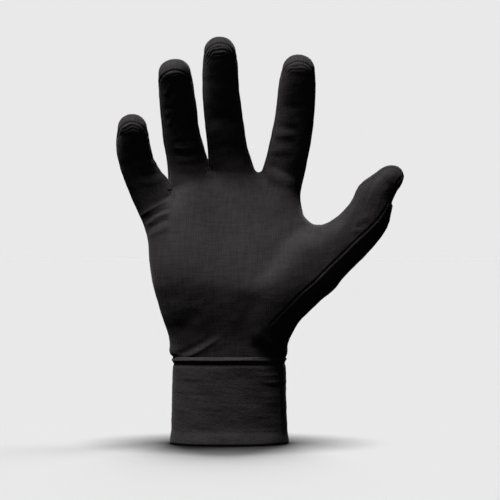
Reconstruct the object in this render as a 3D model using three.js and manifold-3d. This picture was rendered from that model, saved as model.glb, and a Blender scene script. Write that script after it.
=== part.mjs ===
// A right-hand glove liner in thin stretch jersey, standing as it does on a hand: palm to the front (-Y),
// thumb to the right (+X), fingers up (+Z). Millimetres. The origin is the middle of the wrist opening, on
// the plane of the cuff's hem.
//
// The liner is cut and sewn: a palm panel and a back panel, each one piece of jersey with the fronts or the
// backs of all five fingers, three narrow fourchettes that make the facing sides of the four fingers, and a
// cuff of folded jersey. The back panel wraps over each fingertip, so that its seam shows on the front.
import * as THREE from 'three';
import { mergeVertices } from 'three/addons/utils/BufferGeometryUtils.js';
import Module from 'manifold-3d';

// ---- driving dimensions ------------------------------------------------------------------------------
const WALL = 1.3;             // jersey with its brushed inside
const CUFF_WALL = 2.2;        // the cuff is folded double
const SEAM_GAP = 0.3;         // between neighbouring pieces
const CUFF_TOP = 49.6;        // height of the wrist seam
const HAND_BOTTOM = CUFF_TOP + SEAM_GAP;
const FOURCHETTE_HALF = 4.6;  // half the width of a fourchette
const FOURCHETTE_END = 11;    // a fourchette ends in a point this far below a fingertip
const TIP_SEAM_SIDE = 7;      // the seam over a fingertip lies this far below the tip at the sides
const TIP_SEAM_RISE = 0.8;    // and climbs by this much for each millimetre towards the front
const ROUND = 2.25;           // how square a finger's section is: 2 is an ellipse
const PALM_ROUND = 2.6;
const FINGER_SIDES = 12;
const PALM_SIDES = 28;
const CUFF_SIDES = 30;
const WEB_SIDES = 8;

// Each finger from its root inside the palm to its tip. x, y, z: the middle of the section; w: half width; d: half depth.
const FINGERS = {
  little: [
    { x: -35.9, y: 7.0, z: 121.3, w: 11.1, d: 8.6 },
    { x: -42.3, y: 6.8, z: 137.6, w: 11.1, d: 9.0 },
    { x: -49.0, y: 4.6, z: 151.3, w: 10.7, d: 9.1 },
    { x: -54.0, y: 0.2, z: 163.9, w: 9.9, d: 8.7 },
    { x: -55.8, y: -6.4, z: 176.6, w: 9.2, d: 8.0 },
    { x: -55.8, y: -9.6, z: 181.6, w: 8.3, d: 7.1 },
    { x: -56.0, y: -13.4, z: 189.2, w: 0, d: 0 },
  ],
  ring: [
    { x: -19.8, y: 9.5, z: 138.0, w: 12.2, d: 9.4 },
    { x: -22.1, y: 9.4, z: 151.7, w: 12.3, d: 9.8 },
    { x: -24.1, y: 8.4, z: 160.7, w: 11.6, d: 9.8 },
    { x: -27.6, y: 3.6, z: 177.0, w: 10.8, d: 9.4 },
    { x: -29.4, y: -3.2, z: 193.0, w: 10.4, d: 9.0 },
    { x: -30.9, y: -11.4, z: 208.5, w: 9.7, d: 8.2 },
    { x: -31.3, y: -14.6, z: 213.4, w: 9.0, d: 7.5 },
    { x: -31.8, y: -18.8, z: 220.2, w: 0, d: 0 },
  ],
  middle: [
    { x: 4.6, y: 10.0, z: 138.0, w: 12.6, d: 9.8 },
    { x: 2.8, y: 9.8, z: 151.7, w: 12.7, d: 10.2 },
    { x: 0.5, y: 8.8, z: 161.0, w: 12.4, d: 10.2 },
    { x: -2.1, y: 4.8, z: 177.1, w: 11.2, d: 9.8 },
    { x: -4.0, y: -1.6, z: 194.2, w: 10.8, d: 9.3 },
    { x: -5.1, y: -8.6, z: 209.9, w: 10.2, d: 8.8 },
    { x: -5.4, y: -16.0, z: 224.4, w: 9.1, d: 7.5 },
    { x: -5.8, y: -21.3, z: 233.2, w: 0, d: 0 },
  ],
  index: [
    { x: 26.9, y: 8.8, z: 134.0, w: 12.2, d: 9.8 },
    { x: 29.1, y: 8.4, z: 147.0, w: 12.2, d: 10.3 },
    { x: 33.9, y: 5.6, z: 167.9, w: 11.8, d: 10.1 },
    { x: 37.3, y: 1.2, z: 185.1, w: 11.3, d: 9.7 },
    { x: 38.8, y: -4.6, z: 202.1, w: 10.7, d: 9.1 },
    { x: 39.8, y: -11.2, z: 216.0, w: 9.1, d: 7.7 },
    { x: 40.5, y: -15.8, z: 223.3, w: 0, d: 0 },
  ],
  thumb: [
    { x: 21.1, y: -3.0, z: 66.8, w: 12.7, d: 18.5 },
    { x: 28.6, y: -5.0, z: 83.1, w: 17.3, d: 19.5 },
    { x: 38.4, y: -6.0, z: 95.2, w: 18.5, d: 18.0 },
    { x: 48.2, y: -6.5, z: 105.0, w: 17.5, d: 15.0 },
    { x: 58.8, y: -7.0, z: 110.9, w: 15.2, d: 12.8 },
    { x: 70.0, y: -7.9, z: 120.0, w: 13.4, d: 11.3 },
    { x: 79.1, y: -9.4, z: 130.9, w: 12.4, d: 10.5 },
    { x: 82.2, y: -10.4, z: 136.8, w: 11.7, d: 10.0 },
    { x: 84.5, y: -11.4, z: 142.4, w: 10.3, d: 9.3 },
    { x: 89.4, y: -13.0, z: 150.0, w: 8.0, d: 7.8 },
    { x: 98.4, y: -15.6, z: 158.4, w: 0, d: 0 },
  ],
};

// The webs at the finger roots, in the same columns. The thumb's web is a soft U from the forefinger to the thumb.
const WEBS = {
  little_ring: [
    { x: -32.0, y: 7.5, z: 131.0, w: 9.0, d: 8.6 },
    { x: -34.0, y: 7.0, z: 140.5, w: 6.5, d: 7.2 },
    { x: -34.8, y: 6.4, z: 145.8, w: 0, d: 0 },
  ],
  ring_middle: [
    { x: -10.6, y: 9.4, z: 146.0, w: 7.0, d: 8.8 },
    { x: -12.0, y: 8.6, z: 157.0, w: 4.0, d: 6.4 },
    { x: -12.3, y: 8.0, z: 161.8, w: 0, d: 0 },
  ],
  middle_index: [
    { x: 16.2, y: 9.2, z: 140.0, w: 9.0, d: 9.0 },
    { x: 17.0, y: 8.6, z: 150.6, w: 7.4, d: 7.4 },
    { x: 17.2, y: 8.0, z: 156.0, w: 0, d: 0 },
  ],
  thumb: [
    { x: 31.0, y: 5.0, z: 148.0, w: 7.5, d: 7.5 },
    { x: 32.8, y: 4.0, z: 136.0, w: 8.4, d: 8.6 },
    { x: 37.0, y: 1.5, z: 125.2, w: 9.2, d: 9.4 },
    { x: 45.6, y: -1.5, z: 117.9, w: 8.8, d: 9.6 },
    { x: 54.5, y: -4.5, z: 117.3, w: 8.8, d: 9.6 },
    { x: 62.0, y: -6.5, z: 120.6, w: 7.6, d: 9.0 },
    { x: 70.0, y: -8.0, z: 126.0, w: 0, d: 0 },
  ],
};

// The palm from the wrist seam to the finger roots: z, left and right edge, front and back. The jersey blouses
// over the cuff in a roll, and the palm leans back towards the fingers.
const PALM = [
  { z: 49.6, left: -32.8, right: 32.5, front: -19.8, back: 19.4 },
  { z: 51.4, left: -34.5, right: 33.3, front: -21.4, back: 20.7 },
  { z: 54.4, left: -34.9, right: 33.6, front: -22.2, back: 21.2 },
  { z: 58.4, left: -34.6, right: 33.4, front: -22.4, back: 21.0 },
  { z: 65.0, left: -35.8, right: 35.2, front: -23.6, back: 20.8 },
  { z: 78.0, left: -40.0, right: 38.2, front: -25.2, back: 21.0 },
  { z: 92.2, left: -44.3, right: 40.2, front: -25.0, back: 21.8 },
  { z: 108.0, left: -46.6, right: 41.4, front: -20.0, back: 22.7 },
  { z: 128.0, left: -45.8, right: 41.2, front: -11.4, back: 22.8 },
  { z: 144.6, left: -38.0, right: 37.4, front: -3.2, back: 20.0 },
  { z: 151.1, left: -28.0, right: 33.0, front: 0.8, back: 17.6 },
  { z: 154.6, left: -18.0, right: 23.0, front: 4.4, back: 14.0 },
];

// The folds that show most, each a crease between two ridges around one finger: height, how far the ridges
// stand out, and how far apart they are.
const FOLDS = [
  { on: 'little', z: 156.8, rise: 0.7, span: 5 },
  { on: 'little', z: 166.4, rise: 0.5, span: 4 },
  { on: 'ring', z: 173.6, rise: 0.7, span: 5 },
  { on: 'middle', z: 171.0, rise: 0.4, span: 6 },
  { on: 'index', z: 179.6, rise: 0.6, span: 5 },
  { on: 'thumb', z: 117.5, rise: 0.5, span: 5 },
];

// The cuff from its folded hem to the wrist seam: z, left and right edge, half depth. It flares a little at
// the hem and has a rolled ridge under the wrist seam.
const CUFF = [
  { z: 0.0, left: -34.0, right: 34.1, d: 21.6 },
  { z: 1.0, left: -34.5, right: 34.5, d: 22.0 },
  { z: 14.0, left: -33.5, right: 33.3, d: 21.0 },
  { z: 45.4, left: -32.6, right: 32.4, d: 20.1 },
  { z: 47.4, left: -33.2, right: 33.1, d: 20.6 },
  { z: 48.8, left: -33.3, right: 33.2, d: 20.7 },
  { z: 49.6, left: -32.8, right: 32.6, d: 20.2 },
];
const CUFF_INSIDE = [CUFF[0], CUFF[2], CUFF.at(-1)];

// The seam on the thumb's side of the hand as the front view shows it, from the tip of the thumb to the wrist.
const THUMB_SEAM = [
  { x: 101.5, z: 160.0 }, { x: 99.0, z: 154.5 }, { x: 95.6, z: 149.8 }, { x: 91.6, z: 140.6 }, { x: 86.4, z: 131.4 },
  { x: 80.7, z: 125.1 }, { x: 72.1, z: 117.1 }, { x: 57.8, z: 103.3 }, { x: 40.6, z: 87.3 }, { x: 32.0, z: 78.7 },
  { x: 24.5, z: 70.6 }, { x: 22.2, z: 66.1 }, { x: 22.5, z: 60.0 }, { x: 25.5, z: 53.0 }, { x: 29.0, z: 44.0 },
];

// How far back the side seam lies on the outer edge of the palm.
const SIDE = [
  { z: 40, y: 0.0 }, { z: 64, y: 0.5 }, { z: 92, y: 2.5 }, { z: 120, y: 6.0 }, { z: 150, y: 8.5 }, { z: 240, y: 8.5 },
];

const wasm = await Module();
wasm.setup();

// ---- three.js geometry to a solid and back ---------------------------------------------------------------
function solid(geometry) {
  const g = geometry.clone();
  for (const a of ['normal', 'uv']) if (g.attributes[a]) g.deleteAttribute(a);
  const m = mergeVertices(g, 1e-4);
  return new wasm.Manifold(new wasm.Mesh({
    numProp: 3,
    vertProperties: new Float32Array(m.attributes.position.array),
    triVerts: new Uint32Array(m.index.array),
  }));
}

function geometryOf(s) {
  const m = s.getMesh();
  const p = new Float32Array(m.numVert * 3);
  for (let i = 0; i < m.numVert; i++) p.set(m.vertProperties.subarray(i * m.numProp, i * m.numProp + 3), i * 3);
  return new THREE.BufferGeometry()
    .setAttribute('position', new THREE.BufferAttribute(p, 3))
    .setIndex(new THREE.BufferAttribute(new Uint32Array(m.triVerts), 1));
}

// ---- lofts -----------------------------------------------------------------------------------------------
// A loft through rings of equal length is a capped cylinder whose vertices are moved onto the rings.
function loft(rings) {
  const sides = rings[0].length, rows = rings.length;
  const g = new THREE.CylinderGeometry(1, 1, rows - 1, sides, rows - 1, false);
  const p = g.attributes.position;
  const middle = (ring) => ring.reduce((c, q) => c.add(q), new THREE.Vector3()).multiplyScalar(1 / sides);
  for (let i = 0; i < p.count; i++) {
    const x = p.getX(i), y = p.getY(i), z = p.getZ(i);
    const row = Math.round(y + (rows - 1) / 2);
    const r = Math.hypot(x, z);
    const k = Math.round((Math.atan2(x, z) / (2 * Math.PI)) * sides + sides) % sides;
    const q = r < 0.5 ? middle(rings[row]) : rings[row][k];
    p.setXYZ(i, q.x, q.y, q.z);
  }
  return solid(g);
}

const power = (v, p) => Math.sign(v) * Math.abs(v) ** (2 / p);

function ringAt(c, u, v, a, b, sides, p) {
  const ring = [];
  for (let k = 0; k < sides; k++) {
    const t = (k / sides) * 2 * Math.PI;
    ring.push(new THREE.Vector3().copy(c)
      .addScaledVector(u, a * power(Math.cos(t), p))
      .addScaledVector(v, b * power(Math.sin(t), p)));
  }
  return ring;
}

const mix = (a, b, t) => a + (b - a) * t;

// A finger's table with the rows of its folds put in between.
function folded(name, rows) {
  const out = [...rows];
  for (const f of FOLDS.filter((q) => q.on === name)) {
    for (const [dz, rise] of [[-f.span / 2, f.rise], [0, -0.4 * f.rise], [f.span / 2, f.rise]]) {
      const z = f.z + dz, i = rows.findIndex((r) => r.z > z), p = rows[i - 1], q = rows[i], t = (z - p.z) / (q.z - p.z);
      out.push({ x: mix(p.x, q.x, t), y: mix(p.y, q.y, t), z, w: mix(p.w, q.w, t) + rise, d: mix(p.d, q.d, t) + rise });
    }
  }
  return out.sort((p, q) => p.z - q.z);
}

// A finger or a web: sections across its own line, and a domed tip. inset makes the cavity inside it.
function finger(rows, inset, sides = FINGER_SIDES) {
  const Y = new THREE.Vector3(0, 1, 0);
  const at = rows.map((r) => new THREE.Vector3(r.x, r.y, r.z));
  const rings = [];
  const last = rows.length - 2;
  for (let i = 0; i <= last; i++) {
    const t = at[i + 1].clone().sub(at[Math.max(i - 1, 0)]).normalize();
    const v = Y.clone().addScaledVector(t, -Y.dot(t)).normalize();
    const u = new THREE.Vector3().crossVectors(v, t);
    const a = rows[i].w - inset, b = rows[i].d - inset;
    rings.push(ringAt(at[i], u, v, a, b, sides, ROUND));
    if (i === last) {
      const tip = at[last + 1].clone().addScaledVector(t, -inset);
      const rise = tip.clone().sub(at[last]);
      for (const f of inset > 0 ? [0.6] : [0.45, 0.78]) {
        const up = Math.sin((f * Math.PI) / 2) ** 0.92, in_ = Math.cos((f * Math.PI) / 2) ** 0.92;
        rings.push(ringAt(at[last].clone().addScaledVector(rise, up), u, v, a * in_, b * in_, sides, ROUND));
      }
      rings.push(ringAt(tip, u, v, 0.9, 0.9, sides, 2));
    }
  }
  return loft(rings);
}

// A stack of level sections: the palm and the cuff.
function stack(rows, inset, sides, p, lift = 0) {
  return loft(rows.map((r, i) => {
    const y = ((r.front ?? -r.d) + (r.back ?? r.d)) / 2, d = ((r.back ?? r.d) - (r.front ?? -r.d)) / 2;
    const z = r.z + (i === 0 ? -lift : i === rows.length - 1 ? lift : 0);
    return ringAt(new THREE.Vector3((r.left + r.right) / 2, y, z), new THREE.Vector3(1, 0, 0), new THREE.Vector3(0, 1, 0),
      (r.right - r.left) / 2 - inset, d - inset, sides, p);
  }));
}

// The whole hand as one solid, at the cloth's outer face or inset from it. Only the outside has the folds.
function hand(inset) {
  const inside = inset > 0;
  const palm = inside ? [{ ...PALM[0], z: PALM[0].z - 8 }, ...PALM.filter((r, i) => i % 2 === 0 && i < PALM.length - 1)] : PALM;
  let s = stack(palm, inset, PALM_SIDES, PALM_ROUND);
  for (const [name, rows] of Object.entries(FINGERS)) s = s.add(finger(inside ? rows : folded(name, rows), inset));
  for (const rows of Object.values(WEBS)) s = s.add(finger(rows, inset, WEB_SIDES));
  return s;
}

// ---- where the pieces meet -----------------------------------------------------------------------------------
// The nearest place on a finger's line, seen from the front: how far off it is, its middle there, and how far below the tip.
function near(rows, x, z) {
  let best = null;
  for (let i = 0; i + 1 < rows.length; i++) {
    const p = rows[i], q = rows[i + 1];
    const ex = q.x - p.x, ez = q.z - p.z;
    const t = Math.min(1, Math.max(0, ((x - p.x) * ex + (z - p.z) * ez) / (ex * ex + ez * ez)));
    const cx = mix(p.x, q.x, t), cz = mix(p.z, q.z, t);
    const off = Math.hypot(x - cx, z - cz);
    if (!best || off < best.off) best = { off, y: mix(p.y, q.y, t), below: Math.hypot(rows.at(-1).x - cx, rows.at(-1).z - cz) };
  }
  return best;
}

function between(table, z, key) {
  const i = Math.max(1, table.findIndex((r) => r.z >= z));
  const p = table[i - 1], q = table[i];
  return mix(p[key], q[key], Math.min(1, Math.max(0, (z - p.z) / (q.z - p.z))));
}

const FOUR = ['little', 'ring', 'middle', 'index'];

// The middle of the hand's thickness, seen from the front. The seams at the fingers' sides lie on it.
function middleY(x, z) {
  let sum = 0, weight = 0;
  const add = (y, d) => { const w = 1 / (0.02 + d ** 4); sum += w * y; weight += w; };
  for (const r of Object.values(FINGERS)) {
    const n = near(r, x, z);
    add(n.y, Math.max(0, n.off - 5) / 10);
  }
  add(between(SIDE, z, 'y'), Math.max(0, z - 112) / 12 + Math.max(0, x - 5) / 14);
  return sum / weight;
}

// Half the width of the fourchettes, which narrow towards each fingertip.
function bandHalf(x, z) {
  const below = FOUR.map((name) => near(FINGERS[name], x, z)).sort((p, q) => p.off - q.off)[0].below;
  return FOURCHETTE_HALF * Math.min(1, Math.max(0.3, (below - FOURCHETTE_END + 6) / 18));
}

// A block whose near and far faces follow two heights over a part of the front view.
function sheet(low, high, { x0, x1, z0, z1, nx, nz }) {
  const g = new THREE.BoxGeometry(x1 - x0, 2, z1 - z0, nx, 1, nz);
  const p = g.attributes.position;
  for (let i = 0; i < p.count; i++) {
    const x = p.getX(i) + (x0 + x1) / 2, z = p.getZ(i) + (z0 + z1) / 2;
    p.setXYZ(i, x, p.getY(i) < 0 ? low(x, z) : high(x, z), z);
  }
  return solid(g);
}
const ALL = { x0: -74, x1: 112, z0: 42, z1: 242, nx: 12, nz: 12 };
const AT_FINGERS = { x0: -57, x1: 40, z0: 134, z1: 230, nx: 7, nz: 7 };
const FAR = 70;

// A prism along Y over an outline in the front view.
function prism(points, dx = 0, dz = 0) {
  const shape = new THREE.Shape(points.map((p) => new THREE.Vector2(p.x + dx, p.z + dz)));
  const g = new THREE.ExtrudeGeometry(shape, { depth: 2 * FAR, bevelEnabled: false });
  g.rotateX(Math.PI / 2);       // the outline's second axis becomes Z, and the depth runs along -Y
  g.translate(0, FAR, 0);
  return solid(g);
}

// The strip of the front view between two fingers' lines, down to below their web.
function strip(a, b, grow) {
  const line = (rows) => {
    const length = (p, q) => Math.hypot(p.x - q.x, p.z - q.z);
    const out = [];
    for (const r of rows.slice(1, -1)) if (length(r, rows.at(-1)) > FOURCHETTE_END + 1) out.push(r);
    const p = out.at(-1), q = rows.at(-1), t = 1 - (FOURCHETTE_END - grow) / length(p, q);
    out.push({ x: mix(p.x, q.x, t), z: mix(p.z, q.z, t) });
    return out;
  };
  return prism([...line(FINGERS[b]).reverse(), ...line(FINGERS[a])].reverse());
}

// The block over a fingertip that the back panel wraps round: everything above a tilted plane.
function tipBlock(rows, grow) {
  const tip = new THREE.Vector3(rows.at(-1).x, rows.at(-1).y, rows.at(-1).z);
  const t = tip.clone().sub(new THREE.Vector3(rows.at(-2).x, rows.at(-2).y, rows.at(-2).z)).normalize();
  const Y = new THREE.Vector3(0, 1, 0);
  const v = Y.addScaledVector(t, -Y.dot(t)).normalize();
  const n = t.clone().addScaledVector(v, TIP_SEAM_RISE).normalize();
  const u = new THREE.Vector3().crossVectors(v, t).normalize();
  const g = new THREE.BoxGeometry(24, 44, 40);
  g.applyMatrix4(new THREE.Matrix4().makeBasis(u, new THREE.Vector3().crossVectors(n, u), n));
  const c = tip.addScaledVector(t, -TIP_SEAM_SIDE).addScaledVector(n, 20 - grow);
  return solid(g.translate(c.x, c.y, c.z));
}

// ---- the pieces ------------------------------------------------------------------------------------------------
const shell = hand(0).subtract(hand(WALL)).subtract(solid(new THREE.BoxGeometry(400, 400, 200).translate(0, 0, HAND_BOTTOM - 100)));

// All that lies behind the side seams, over the fingertips or on the far side of the thumb's seam is the back panel.
const beyondThumb = [...THUMB_SEAM, { x: 60, z: 40 }, { x: 120, z: 40 }, { x: 120, z: 165 }];
const tips = (grow) => Object.values(FINGERS).map((rows) => tipBlock(rows, grow)).reduce((p, q) => p.add(q));
const frontOf = (dy, grow) => sheet(() => -FAR, (x, z) => middleY(x, z) + dy, ALL)
  .subtract(prism(beyondThumb, -0.8 * grow, 0.8 * grow)).subtract(tips(grow));
let palm = shell.intersect(frontOf(-SEAM_GAP / 2, SEAM_GAP));
let back = shell.subtract(frontOf(SEAM_GAP / 2, 0));

const band = (grow) => sheet((x, z) => middleY(x, z) - bandHalf(x, z) - grow, (x, z) => middleY(x, z) + bandHalf(x, z) + grow, AT_FINGERS);
const bandInside = band(0), bandRoom = band(SEAM_GAP);
const fourchettes = {};
for (const [a, b] of [['little', 'ring'], ['ring', 'middle'], ['middle', 'index']]) {
  fourchettes[`fourchette_${a}_${b}`] = shell.intersect(bandInside).intersect(strip(a, b, 0));
  const room = bandRoom.intersect(strip(a, b, SEAM_GAP));
  palm = palm.subtract(room);
  back = back.subtract(room);
}

// The largest body of a cut, without the slivers that a cut can leave.
function mainBody(s) {
  return s.decompose().sort((p, q) => q.volume() - p.volume())[0];
}

const cuff = stack(CUFF, 0, CUFF_SIDES, 2.3).subtract(stack(CUFF_INSIDE, CUFF_WALL, CUFF_SIDES, 2.3, 3));

const jersey = () => new THREE.MeshStandardMaterial({ color: 0x141315, roughness: 0.82, metalness: 0 });
const ribless = () => new THREE.MeshStandardMaterial({ color: 0x171517, roughness: 0.88, metalness: 0 });

const liner = new THREE.Group();
function piece(name, s, material) {
  const m = new THREE.Mesh(geometryOf(mainBody(s)), material);
  m.name = name;
  liner.add(m);
}
piece('palm_panel', palm, jersey());
piece('back_panel', back, jersey());
for (const [name, s] of Object.entries(fourchettes)) piece(name, s, jersey());
piece('cuff', cuff, ribless());

export default liner;
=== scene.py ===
"""A thin black jersey glove liner for the right hand, standing on its cuff as if a hand filled it.

The cloth's outer face is worked out from short tables: the fingers and the thumb are swept sections, the palm is
a stack of level sections, and they flow into one another at the webs. That face is cut along the real seams into
a palm panel, a back panel and three fourchettes, folded and puckered, and given a wall. The cuff is its own band.
Lengths in the tables are millimetres in the part's frame; Blender gets metres.
"""
import math

import bpy
import numpy as np
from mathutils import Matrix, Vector
from mathutils.kdtree import KDTree


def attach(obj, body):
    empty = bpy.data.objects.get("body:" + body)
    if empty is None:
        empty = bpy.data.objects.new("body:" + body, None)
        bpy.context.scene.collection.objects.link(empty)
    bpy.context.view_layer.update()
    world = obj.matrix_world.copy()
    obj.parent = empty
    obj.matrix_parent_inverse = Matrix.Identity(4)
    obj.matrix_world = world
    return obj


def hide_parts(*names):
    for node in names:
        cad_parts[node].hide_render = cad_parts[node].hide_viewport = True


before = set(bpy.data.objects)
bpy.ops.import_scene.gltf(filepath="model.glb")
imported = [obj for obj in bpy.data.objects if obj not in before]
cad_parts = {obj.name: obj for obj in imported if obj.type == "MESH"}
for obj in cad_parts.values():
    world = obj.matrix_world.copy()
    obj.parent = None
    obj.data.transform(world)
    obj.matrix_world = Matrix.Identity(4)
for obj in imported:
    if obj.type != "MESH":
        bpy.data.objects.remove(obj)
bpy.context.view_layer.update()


MM = 0.001

# ---- sizes -----------------------------------------------------------------------------------------------
CELL = 1.0             # of the grid that the outer face is worked out on
WALL = 1.0             # jersey
SQUARE = 2.25          # how square a finger's section is: 2 is an ellipse
PALM_SQUARE = 2.5
HAND_BOTTOM = 50.0     # the wrist seam
FOURCHETTE_HALF = 4.6
FOURCHETTE_END = 11.0
EASE = 0.2             # how far the cloth's outer face stands off the sections in the tables

# Fingers from the root to the tip: x, y, z of the section's middle, half width, half depth. The last row is the tip.
FINGERS = {
    "little": [
        (-34.6, 7.0, 121.3, 9.4, 8.2), (-38.2, 7.0, 129.4, 10.3, 8.6), (-42.2, 6.8, 137.6, 10.9, 9.0),
        (-46.3, 5.8, 146.0, 11.0, 9.1), (-49.0, 4.6, 151.3, 10.7, 9.1), (-52.0, 2.6, 157.9, 10.1, 8.9),
        (-54.0, 0.2, 163.9, 9.9, 8.7), (-55.5, -3.2, 170.8, 9.6, 8.4), (-55.8, -6.4, 176.6, 9.2, 8.0),
        (-55.8, -9.6, 181.6, 8.3, 7.1), (-56.0, -13.4, 189.2, 0, 0)],
    "ring": [
        (-19.8, 9.5, 138.0, 12.0, 9.4), (-21.9, 10.6, 151.7, 12.1, 9.8), (-24.1, 10.0, 160.7, 11.5, 9.8),
        (-25.9, 7.2, 169.0, 11.2, 9.7), (-27.6, 3.6, 177.0, 10.8, 9.4), (-28.7, 0.4, 185.0, 10.5, 9.2),
        (-29.4, -3.2, 193.0, 10.4, 9.0), (-30.3, -7.2, 200.7, 10.1, 8.7), (-30.9, -11.4, 208.5, 9.7, 8.2),
        (-31.3, -14.6, 213.4, 9.1, 7.5), (-31.8, -18.8, 220.2, 0, 0)],
    "middle": [
        (4.6, 10.0, 138.0, 12.6, 9.8), (2.8, 11.3, 151.7, 12.6, 10.2), (0.7, 10.5, 161.0, 12.3, 10.2),
        (-0.9, 8.0, 169.1, 11.5, 10.0), (-2.1, 4.8, 177.1, 11.2, 9.8), (-3.2, 1.6, 186.3, 11.0, 9.5),
        (-4.0, -1.6, 194.2, 10.8, 9.3), (-4.9, -5.0, 202.1, 10.5, 9.1), (-5.1, -8.6, 209.9, 10.2, 8.8),
        (-5.2, -13.0, 218.7, 9.8, 8.2), (-5.4, -15.8, 224.4, 9.1, 7.6), (-5.8, -20.2, 233.2, 0, 0)],
    "index": [
        (26.4, 8.8, 131.0, 12.0, 9.8), (27.7, 9.0, 138.2, 12.0, 10.2), (29.1, 9.8, 147.0, 12.2, 10.3),
        (31.8, 8.8, 158.0, 12.0, 10.2), (33.9, 5.6, 167.9, 11.8, 10.1), (35.7, 3.8, 175.9, 11.6, 9.9),
        (37.3, 1.2, 185.1, 11.3, 9.7), (38.2, -1.6, 194.2, 10.9, 9.4), (38.8, -4.6, 202.1, 10.7, 9.1),
        (39.4, -8.0, 209.6, 10.2, 8.6), (39.9, -10.8, 215.4, 9.1, 7.8), (40.5, -14.6, 223.3, 0, 0)],
    "thumb": [
        (21.1, -3.0, 66.8, 12.7, 18.0), (28.6, -5.0, 83.1, 17.1, 19.5), (38.7, -6.0, 94.9, 18.2, 18.5),
        (49.0, -6.5, 104.2, 18.7, 15.5), (58.8, -7.0, 110.9, 15.5, 12.8), (67.0, -7.6, 116.8, 13.8, 11.6),
        (73.6, -8.1, 123.4, 13.2, 10.9), (79.3, -8.7, 130.7, 12.7, 10.5), (81.9, -9.2, 137.0, 11.7, 10.0),
        (83.8, -9.8, 143.0, 10.7, 9.3), (87.2, -10.4, 147.5, 9.2, 8.3), (90.6, -11.0, 151.4, 7.7, 7.4),
        (98.4, -12.6, 158.4, 0, 0)],
}

# The soft web from the forefinger to the thumb, in the same columns.
THUMB_WEB = [
    (30.0, 5.0, 148.0, 6.0, 7.5), (31.4, 4.0, 136.0, 6.7, 8.4), (35.9, 1.5, 125.0, 8.3, 9.0), (45.6, -1.5, 117.7, 8.6, 9.2),
    (54.5, -4.5, 116.7, 8.1, 9.2), (62.0, -6.5, 120.0, 6.6, 8.8), (70.0, -8.0, 126.0, 0, 0)]

# The palm, level by level: z, left and right edge, front and back.
PALM = [
    (46.0, -32.6, 32.3, -18.4, 19.0), (49.6, -32.8, 32.5, -18.5, 19.4), (51.4, -34.3, 33.2, -18.6, 20.4),
    (54.0, -34.8, 33.6, -18.7, 21.0), (58.0, -34.3, 33.2, -18.8, 21.0), (64.4, -35.4, 34.8, -19.2, 20.8),
    (73.7, -38.3, 37.0, -20.7, 20.8), (83.0, -41.1, 38.7, -22.2, 21.2), (92.2, -43.7, 39.9, -23.2, 21.8),
    (101.5, -45.4, 40.8, -22.1, 22.4), (110.8, -46.1, 41.2, -19.5, 22.8), (120.1, -46.0, 40.8, -16.2, 23.0),
    (128.3, -45.0, 40.2, -12.8, 22.6), (136.5, -42.2, 38.6, -9.0, 21.4), (143.0, -35.0, 35.5, -5.4, 19.8),
    (149.0, -27.0, 31.0, -1.4, 18.0), (153.5, -19.0, 24.0, 1.8, 15.6)]
PALM_TOP = 3.5         # the palm's rounded end above its last level, between the finger roots

# Soft relief of the palm in the front view: x, z, half width, half height, how far it stands out.
MOUNDS = [
    (26.0, 92.0, 12.0, 13.0, 1.5), (-31.0, 104.0, 12.0, 24.0, 1.9), (-5.0, 114.0, 14.0, 22.0, -1.9), (-25.0, 77.0, 13.0, 10.0, 1.0), (-27.0, 51.5, 8.0, 5.5, -0.9),
    (15.0, 87.0, 11.0, 9.0, 1.0), (18.0, 73.0, 12.0, 8.0, 0.8), (-38.0, 131.0, 12.0, 14.0, 2.0), (-25.0, 147.0, 15.0, 13.0, 2.6), (3.0, 144.0, 10.0, 8.0, 0.8),
    (27.0, 138.0, 10.0, 8.0, 0.6), (34.0, 117.0, 12.0, 12.0, 2.2), (3.0, 160.0, 9.0, 5.0, 0.9), (-22.0, 159.0, 8.0, 5.0, 0.6),
    (29.0, 157.0, 9.0, 5.0, 0.7)]

# The seam on the thumb's side as the front view shows it, from beyond the thumb's tip to the wrist.
THUMB_SEAM = [
    (104.0, 165.0), (101.0, 159.0), (98.6, 154.0), (95.6, 149.8), (91.6, 140.6), (86.4, 131.4), (80.7, 125.1), (72.1, 117.1),
    (65.2, 110.2), (57.8, 103.3), (49.2, 94.7), (40.6, 87.3), (32.0, 78.7), (24.5, 70.6), (22.2, 65.6), (22.6, 60.0),
    (25.0, 54.0), (29.0, 46.0), (32.0, 38.0)]

# How far back the side seam lies on the little finger's edge of the palm.
SIDE = [(40, 0.0), (64, 0.5), (92, 2.5), (120, 6.0), (150, 8.5), (240, 8.5)]

# The fourchettes: between which fingers, and where the front view shows a pointed end below the web, the point and
# the two places where its sides meet the web.
POINTS = [
    ("little", "ring", (-31.0, 139.6), (-35.4, 144.2), (-31.6, 144.6)),
    ("ring", "middle", (-10.0, 151.6), (-13.4, 158.6), (-9.8, 158.6)),
    ("middle", "index", (17.0, 148.5), None, None),
]

# The seam over each fingertip: how far below the tip's outline.
TIP_SEAMS = {"little": 2.2, "ring": 3.3, "middle": 2.0, "index": 1.9, "thumb": 1.3}
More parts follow.
